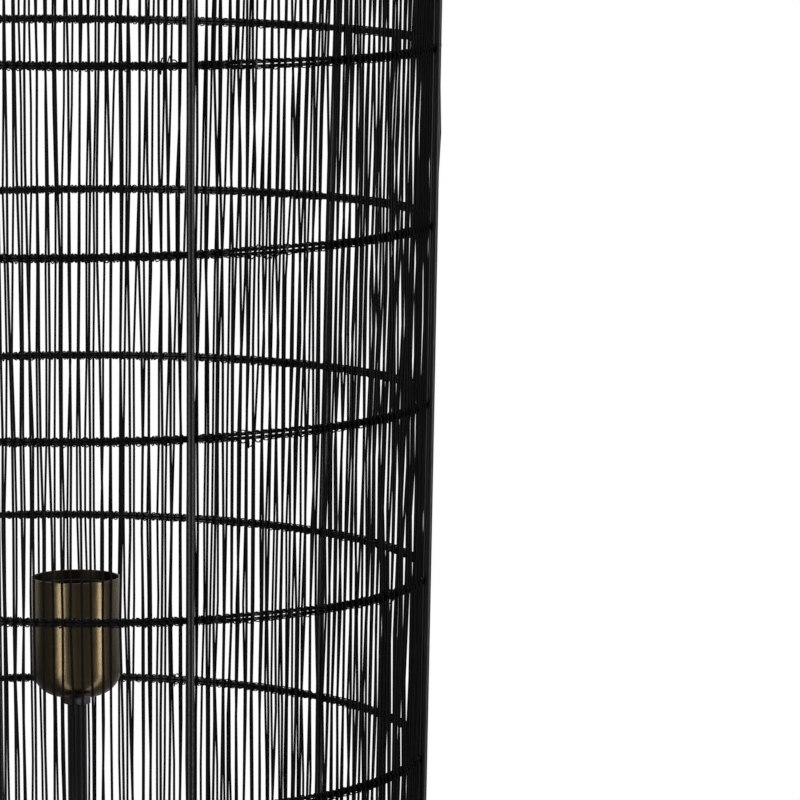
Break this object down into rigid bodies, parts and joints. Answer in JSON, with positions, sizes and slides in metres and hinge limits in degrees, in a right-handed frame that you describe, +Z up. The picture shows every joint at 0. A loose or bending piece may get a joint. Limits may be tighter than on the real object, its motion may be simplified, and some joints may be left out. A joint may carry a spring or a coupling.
{
  "type": "floor lamp",
  "caption": "Tall, slightly tapered open cage of fine black wires on hoops and uprights, around a slim central stem with a bronze cup lampholder.",
  "frame": {"origin": "on the floor, at the middle of the lamp's base", "axes": "+Z up along the stem; -Y is the side that faces the camera of the picture, +X to its right"},
  "size_m": [0.3931, 0.3931, 1.2],
  "materials": {
    "black_coat": "matt black paint over wire and tube",
    "antique_bronze": "brushed, darkened antique bronze",
    "bright_brass": "plain drawn brass",
    "black_phenolic": "moulded, matt",
    "pad_rubber": "matt"
  },
  "bodies": {
    "lamp": {"base_plate": "black_coat", "floor_pads": "pad_rubber", "cage_hoops": "black_coat", "stem_tube": "black_coat", "stem_nuts": "black_coat", "cord_bush": "black_phenolic", "lamp_cup": "antique_bronze", "lampholder_base": "black_phenolic", "lampholder_body": "black_phenolic", "screw_shell": "bright_brass", "contact_leaf": "bright_brass", "live_terminal": "bright_brass", "neutral_terminal": "bright_brass", "upright_rod_1": "black_coat", "upright_rod_2": "black_coat", "upright_rod_3": "black_coat", "upright_rod_4": "black_coat", "upright_rod_5": "black_coat", "upright_rod_6": "black_coat", "filler_wires_1": "black_coat", "filler_wires_2": "black_coat", "filler_wires_3": "black_coat", "filler_wires_4": "black_coat", "filler_wires_5": "black_coat", "filler_wires_6": "black_coat"},
    "contact": {"centre_contact": "bright_brass"}
  },
  "joints": [
    {"name": "contact_press", "type": "slide", "parent": "lamp", "child": "contact", "axis": [0, 0, -1], "range_m": [0, 0.002], "stiffness_N_per_m": 600, "springref_m": -0.001, "deforming": ["contact_leaf"]}
  ]
}
